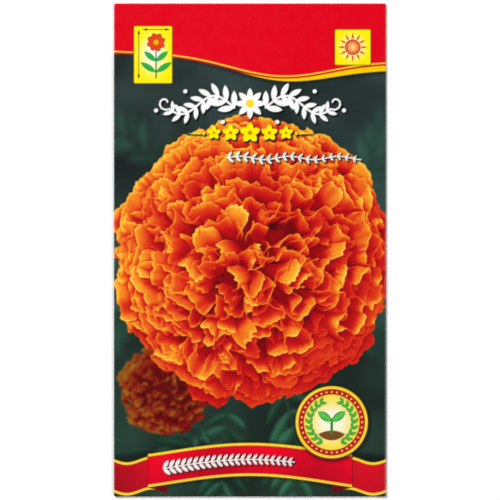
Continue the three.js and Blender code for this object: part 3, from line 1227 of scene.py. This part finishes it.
def run_on(edges, move):
    """Flat paper beyond a chain of edges. Returns its far edges and its faces."""
    added = bmesh.ops.extrude_edge_only(sheet, edges=edges)["geom"]
    bmesh.ops.translate(sheet, vec=move, verts=only(bmesh.types.BMVert, added))
    return only(bmesh.types.BMEdge, added), only(bmesh.types.BMFace, added)


def slant(faces, corner, direction):
    """Cuts flat faces off beyond a line through a corner."""
    parts = [part for face in faces if face.is_valid for part in (face, *face.edges, *face.verts)]
    parts = list(dict.fromkeys(parts))  # each one once, and in the same order on every run
    cut = bmesh.ops.bisect_plane(
        sheet, geom=parts, plane_co=corner, plane_no=direction, clear_outer=True, dist=1e-5
    )
    return only(bmesh.types.BMFace, cut["geom"])


print(f"{len(rim_edges(lambda middle: True))} edges along the rim")

# %% Flaps and back panel
FLAP_TAPER = 4.0
FLAP_END_GAP = 1.5
BLEED_WIDTH = 3.0
BLEED_EDGE = 0.05
HAIR = 0.01  # what a point may be off when it is looked for by its place

flap_bottom = -half_height + FLAP_END_GAP
flap_top = half_height - FLAP_TOP - FLAP_END_GAP
for side in (-1, 1):
    edges = rim_edges(lambda p: side * p.x > fold_x + side_fold - HAIR and flap_bottom < p.y < flap_top)
    edges = turn_under(edges, (side * fold_x, 0, BACK_MIDDLE), (0, side, 0))
    flap = []
    for end in (half_width - BLEED_WIDTH, half_width - BLEED_WIDTH - BLEED_EDGE, half_width - FLAP_SIDE):
        width = abs(edges[0].verts[0].co.x) - end
        edges, faces = run_on(edges, (-side * width, 0, 0))
        flap += faces
    for end, y in ((1, flap_top), (-1, flap_bottom)):
        away = (-side * FLAP_TAPER, end * (fold_x - half_width + FLAP_SIDE), 0)
        flap = slant(flap, (side * fold_x, y, FLAP_MIDDLE), away)

edges = rim_edges(lambda p: p.y > fold_top + side_fold - HAIR and abs(p.x) < fold_x)
edges = turn_under(edges, (0, fold_top, BACK_MIDDLE), (-1, 0, 0))
reach = fold_top - half_height + FLAP_TOP
flap = run_on(edges, (0, -reach, 0))[1]
for side in (-1, 1):
    flap = slant(flap, (side * fold_x, fold_top, FLAP_MIDDLE), (side * reach, -FLAP_TAPER, 0))

edges = rim_edges(lambda p: p.y < fold_bottom - bottom_fold + HAIR and abs(p.x) < fold_x)
edges = turn_under(edges, (0, fold_bottom, BACK_MIDDLE + bottom_fold), (1, 0, 0))
run_on(edges, (0, fold_top - fold_bottom, 0))
print(f"whole sheet: {len(sheet.faces)} faces")

# %% [markdown]
# The sheet's outside
#
# The outside is printed where it shows: the ink runs on round the side folds for 3 mm, the top flap is red
# like the header, and the rest is bare coated white. The colours go into the same attribute as in the films,
# so one material covers both.

# %% The sheet's outside
PAPER_WHITE = "#f6f5f1"
BLEED_COLUMNS = [2, -3]  # of the front's film, whose colours run on round the left and the right fold

bmesh.ops.recalc_face_normals(sheet, faces=sheet.faces)
highest = max(sheet.faces, key=lambda face: face.calc_center_median().z)
if highest.normal.z < 0:
    bmesh.ops.reverse_faces(sheet, faces=sheet.faces)
packet_sheet = finish_piece(sheet, "packet_sheet")
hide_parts("paper_packet")

places = np.array([vertex.co for vertex in packet_sheet.data.vertices]) / MM
colours = np.tile(rgb(PAPER_WHITE), (len(places), 1))
rows = np.rint((places[:, 1] - front_plate.bottom) / front_plate.pitch).astype(int)
rows = np.clip(rows, 0, front_plate.rows)
bleed = front_plate.vertex_colours()[:, BLEED_COLUMNS]
between_flaps = flap_top + FLAP_END_GAP / 2
for side, column in ((-1, 0), (1, 1)):
    bled = (side * places[:, 0] > half_width - BLEED_WIDTH - HAIR) & (places[:, 1] < between_flaps)
    colours[bled] = bleed[rows[bled], column]
on_flaps = places[:, 2] < BACK_MIDDLE - HAIR
colours[places[:, 1] > fold_top] = rgb(RED)
colours[on_flaps & (places[:, 1] > between_flaps)] = rgb(RED)
paint_vertices(packet_sheet.data, colours)

wall = packet_sheet.modifiers.new("thickness", "SOLIDIFY")
wall.thickness = PAPER * MM
wall.offset = 0
wall.use_even_offset = True
wall.material_offset = 1
wall.material_offset_rim = 1

# %% [markdown]
# Materials: printed paper
#
# The outside is art paper, which is paper coated with white clay, printed in offset with four inks and
# covered with a thin varnish. To the eye that gives pure saturated colour, a soft gloss that isn't quite
# even, and, very close, the tooth of the fibres under the coat. Base Color is the vertex colour, made a
# little uneven by a wide noise for the ink's film and by a fine one for the screen's dots. Those are 0.15 mm
# apart on real print, and 0.35 mm here, so that they show at all. The IOR of varnish is 1.5. On the folds the
# film has cracked in places and the white coat shows. The inside of the sheet has no coat: it is a little
# warmer, dull, and its fibres show.

# %% Nodes
def node(tree, kind, inputs=None, **settings):
    """Adds a shader node. An input is a value, a socket, or a node whose first output in use is linked."""
    new = tree.nodes.new("ShaderNode" + kind)
    for name, value in settings.items():
        setattr(new, name, value)
    for name, value in (inputs or {}).items():
        if isinstance(value, bpy.types.Node):
            value = next(output for output in value.outputs if output.enabled)
        if isinstance(value, bpy.types.NodeSocket):
            tree.links.new(value, new.inputs[name])
        else:
            new.inputs[name].default_value = value
    return new


def new_material(name):
    """An empty material, its tree, and a place in metres to read patterns from."""
    material = bpy.data.materials.new(name)
    material.use_nodes = True
    material.node_tree.nodes.clear()
    return material, material.node_tree, node(material.node_tree, "TexCoord").outputs["Object"]


def per_metre(size):
    """The scale that makes a pattern's features size mm wide."""
    return 1 / (size * MM)


print(f"a pattern of 0.35 mm has a scale of {per_metre(0.35):.0f}")

# %% Printed paper
NOISE_RANGE = {"From Min": 0.3, "From Max": 0.7}  # most of a noise's values lie here

printed_paper, tree, place = new_material("printed_art_paper")
ink = node(tree, "Attribute", attribute_name="print")
screen = node(tree, "TexNoise", {"Vector": place, "Scale": per_metre(0.35), "Detail": 1.0})
screen = node(tree, "MapRange", {"Value": screen, **NOISE_RANGE, "To Min": 0.945, "To Max": 0.99})
thickness = node(tree, "TexNoise", {"Vector": place, "Scale": per_metre(9.0), "Detail": 3.0})
thickness = node(tree, "MapRange", {"Value": thickness, **NOISE_RANGE, "To Min": 0.985, "To Max": 1.015})
uneven = node(tree, "Math", {0: screen, 1: thickness}, operation="MULTIPLY")
inked = node(tree, "VectorMath", {"Vector": ink, "Scale": uneven}, operation="SCALE")

cracks = {"Vector": place, "Scale": per_metre(0.25), "Detail": 4.0, "Roughness": 0.7}
cracks = node(tree, "MapRange", {"Value": node(tree, "TexNoise", cracks), "From Min": 0.50, "From Max": 0.62})
bend = {"Value": ink.outputs["Alpha"], "From Min": 0.9, "From Max": 0.3, "To Max": 0.12}
worn = node(tree, "Math", {0: cracks, 1: node(tree, "MapRange", bend)}, operation="MULTIPLY")
colour = node(tree, "Mix", {"Factor": worn, "A": inked, "B": hex_colour(PAPER_WHITE)}, data_type="RGBA")

gloss = node(tree, "TexNoise", {"Vector": place, "Scale": per_metre(2.5), "Detail": 4.0})
gloss = node(tree, "MapRange", {"Value": gloss, **NOISE_RANGE, "To Min": 0.19, "To Max": 0.26})
tooth = node(tree, "TexNoise", {"Vector": place, "Scale": per_metre(0.3), "Detail": 3.0})
tooth = node(tree, "Bump", {"Height": tooth, "Distance": 0.004 * MM})
look = {"Base Color": colour, "Roughness": gloss, "Normal": tooth, "IOR": 1.5, "Specular IOR Level": 0.4}
node(tree, "OutputMaterial", {"Surface": node(tree, "BsdfPrincipled", look)})
print(f"printed paper of {len(tree.nodes)} nodes")


# %% Plain paper
def fibrous_material(name, dark, light, size, roughness, depth):
    """Two colours mixed by a fibrous noise of size mm, which also makes the roughness and the bump."""
    material, tree, place = new_material(name)
    fibres = {"Vector": place, "Scale": per_metre(size), "Detail": 5.0, "Roughness": 0.65}
    fibres = node(tree, "TexNoise", fibres)
    share = node(tree, "MapRange", {"Value": fibres, **NOISE_RANGE})
    colour = {"Factor": share, "A": hex_colour(dark), "B": hex_colour(light)}
    colour = node(tree, "Mix", colour, data_type="RGBA")
    gloss = {"Value": fibres, **NOISE_RANGE, "To Min": roughness[0], "To Max": roughness[1]}
    gloss = node(tree, "MapRange", gloss)
    relief = node(tree, "Bump", {"Height": fibres, "Distance": depth * MM})
    look = {"Base Color": colour, "Roughness": gloss, "Normal": relief}
    node(tree, "OutputMaterial", {"Surface": node(tree, "BsdfPrincipled", look)})
    return material


plain_paper = fibrous_material("uncoated_paper", "#e9e5da", "#f4f2ea", 0.6, (0.8, 0.9), 0.02)
for film in films:
    film.data.materials.append(printed_paper)
packet_sheet.data.materials.append(printed_paper)
packet_sheet.data.materials.append(plain_paper)
print(f"paper on {len(films)} films and a sheet")

# %% [markdown]
# Seeds
#
# Marigold seeds are slender black fruits with a tuft of straw-coloured awns. A packet holds a pinch of them.
# They lie where the solid packet has them, so each new seed takes its line, its length and its bend from the
# one it stands for. A profile is spun round into a spindle, every second row of its points is drawn in for
# the ribs, thin cones make the tuft, and the whole is pressed a little flat.

# %% A seed's ribbed body
SEED_PROFILE = (  # along the body and out from its line, as shares of its length and radius
    (0.0, 0.0), (0.015, 0.24), (0.08, 0.42), (0.25, 0.68), (0.5, 0.92),
    (0.75, 1.0), (0.9, 0.9), (0.98, 0.62), (1.0, 0.0),
)
SEED_RIBS = 10
RIB_DEPTH = 0.14  # of the radius
SEED_LENGTH = 8.6  # of the body
SEED_RADIUS = 0.54


def ribbed_body():
    """A spindle along +x about its middle, with every second row of its points drawn in."""
    bm = bmesh.new()
    chain = []
    for along, out in SEED_PROFILE:
        chain.append(bm.verts.new(((along - 0.5) * SEED_LENGTH, out * SEED_RADIUS, 0)))
    chain += [bm.edges.new(pair) for pair in zip(chain, chain[1:])]
    whole = {"angle": 2 * math.pi, "steps": 2 * SEED_RIBS, "use_merge": True}
    bmesh.ops.spin(bm, geom=chain, cent=(0, 0, 0), axis=(1, 0, 0), **whole)
    bmesh.ops.remove_doubles(bm, verts=bm.verts, dist=1e-4)
    for vertex in bm.verts:
        step = math.atan2(vertex.co.z, vertex.co.y) / math.pi * SEED_RIBS
        if round(step) % 2:
            vertex.co.yz *= 1 - RIB_DEPTH
    return bm


print(f"a body {SEED_LENGTH} mm long with {SEED_RIBS} ribs")

# %% A straight seed
SEED_FLATNESS = 0.8
AWNS = ((-13, 2.1), (-5, 4.1), (0, 2.8), (4, 3.5), (11, 2.4))  # degrees from the seed's line, and length
AWN_ROOT = 0.4  # how deep an awn starts in the body
AWN_RADII = (0.17, 0.02)


def straight_seed():
    """A body with a tuft of awns, which have the second material."""
    bm = ribbed_body()
    body = len(bm.faces)
    for turn, length in AWNS:
        root = Matrix.Translation((SEED_LENGTH / 2 - AWN_ROOT, 0, 0))
        middle = Matrix.Translation(((length + AWN_ROOT) / 2, 0, 0)) @ Matrix.Rotation(QUARTER, 4, "Y")
        bmesh.ops.create_cone(
            bm,
            cap_ends=True,
            segments=5,
            radius1=AWN_RADII[0],
            radius2=AWN_RADII[1],
            depth=length + AWN_ROOT,
            matrix=root @ Matrix.Rotation(math.radians(turn), 4, "Z") @ middle,
        )
    bm.faces.ensure_lookup_table()
    for face in bm.faces[body:]:
        face.material_index = 1
    bmesh.ops.recalc_face_normals(bm, faces=bm.faces)
    bmesh.ops.scale(bm, vec=(1, 1, SEED_FLATNESS), verts=bm.verts)
    return bm


print(f"a tuft of {len(AWNS)} awns")

# %% Seeds where the solid ones lie
SOLID_TUFT = 0.25  # half the thickness of a solid seed's tuft


def lay_seed(name):
    """A ribbed seed where a solid one lies, tuft to tuft."""
    middle, direction, half_length = seed_line(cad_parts[name])
    points = np.array([vertex.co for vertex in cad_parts[name].data.vertices]) / MM
    height = (points[:, 2].min() + points[:, 2].max()) / 2
    along = (points[:, :2] - middle) @ direction
    if along[np.abs(points[:, 2] - height) > SOLID_TUFT].mean() > 0:
        direction, along = -direction, -along
    sideways = np.array((-direction[1], direction[0]))
    bend = np.polyfit(along, (points[:, :2] - middle) @ sideways, 2)
    bm = straight_seed()
    reach = [vertex.co.x for vertex in bm.verts]
    stretch = 2 * half_length / (max(reach) - min(reach))
    for vertex in bm.verts:
        x = (vertex.co.x - (max(reach) + min(reach)) / 2) * stretch
        x, y = middle + direction * x + sideways * (vertex.co.y + np.polyval(bend, x))
        vertex.co = (x, y, vertex.co.z + height)
    seed = finish_piece(bm, name.replace("seed", "ribbed_seed"))
    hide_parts(name)
    return seed


seeds = [lay_seed(name) for name in seed_names]

# %% [markdown]
# Materials: glue, husk and awns
#
# The flaps are held by a cold glue of starch, rolled on in strips, which dries to a brittle, slightly yellow
# film with streaks. The husk is dull, nearly black, with fine fibres along it, and the awns are bleached
# straw. All three are inside the packet, where only a reader who takes it apart will see them.

# %% Materials: glue, husk and awns
starch_glue = fibrous_material("dried_starch_glue", "#d9c79c", "#eee2c2", 1.2, (0.25, 0.5), 0.03)
husk = fibrous_material("seed_husk", "#17110c", "#3d2f24", 0.25, (0.5, 0.8), 0.03)
awn = fibrous_material("straw_awn", "#a58c5c", "#d8c596", 0.2, (0.55, 0.8), 0.02)
for seed in seeds:
    seed.data.materials.append(husk)
    seed.data.materials.append(awn)
for name, cad_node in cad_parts.items():
    if name.startswith("glue_strip"):
        cad_node.data.materials.clear()
        cad_node.data.materials.append(starch_glue)
print("glue, husk and awns")

# %% [markdown]
# Stage, light and camera
#
# The packet lies on a white table and the camera looks straight down. The frame is 147.1 mm across, so at a
# metre's height a 36 mm sensor needs a lens of 36 * 1000 / 147.1 = 244.7 mm. A large soft light at the upper
# left throws the thin shadow along the right and bottom edges. A weaker one at the right lifts it, and throws
# the fainter shadow at the left and the top. Both stand low enough that their gloss misses the camera. The
# table is board with a matt white coat, which spreads light evenly and shows neither lamp.

# %% The table
TABLE_HALF = 3000
TABLE_GAP = 0.05

board = bmesh.new()
bmesh.ops.create_grid(board, x_segments=1, y_segments=1, size=TABLE_HALF)
bmesh.ops.translate(board, vec=(0, 0, -TABLE_GAP), verts=board.verts)
table = add_object("table", metre_mesh(board, "table"))
white_board, tree, _ = new_material("matt_white_board")
look = {"Base Color": hex_colour("#ffffff"), "Roughness": 0.9, "Specular IOR Level": 0.2}
node(tree, "OutputMaterial", {"Surface": node(tree, "BsdfPrincipled", look)})
table.data.materials.append(white_board)
print(f"table {table.dimensions.x:.0f} m wide")

# %% The light
LAMP_DISTANCE = 2.2
ROOM_LIGHT = 0.04


def softbox(name, direction, size, watts):
    """A square lamp, size metres wide, that faces the packet."""
    lamp = bpy.data.lights.new(name, "AREA")
    lamp.energy = watts
    lamp.size = size
    way = Vector(direction).normalized()
    thing = add_object(name, lamp)
    thing.location = way * LAMP_DISTANCE
    thing.rotation_euler = way.to_track_quat("Z", "Y").to_euler()


softbox("key", (-0.5, 0.47, 0.7), size=1.0, watts=49)
softbox("fill", (0.69, -0.3, 0.67), size=1.2, watts=25)
world = bpy.data.worlds.new("studio")
world.use_nodes = True
world.node_tree.nodes["Background"].inputs["Color"].default_value = (1, 1, 1, 1)
world.node_tree.nodes["Background"].inputs["Strength"].default_value = ROOM_LIGHT
bpy.context.scene.world = world
bpy.context.scene.view_settings.view_transform = "Standard"
print(f"two lamps {LAMP_DISTANCE} m away")

# %% The camera
FRAME_WIDTH = 0.1471
CAMERA_HEIGHT = 1.0
SENSOR = 36

lens = bpy.data.cameras.new("camera")
lens.sensor_width = SENSOR
lens.clip_start = 0.01
lens.lens = SENSOR * CAMERA_HEIGHT / FRAME_WIDTH
camera = add_object("camera", lens)
camera.location = (0, 0, CAMERA_HEIGHT)
bpy.context.scene.camera = camera
print(f"lens of {lens.lens:.1f} mm")
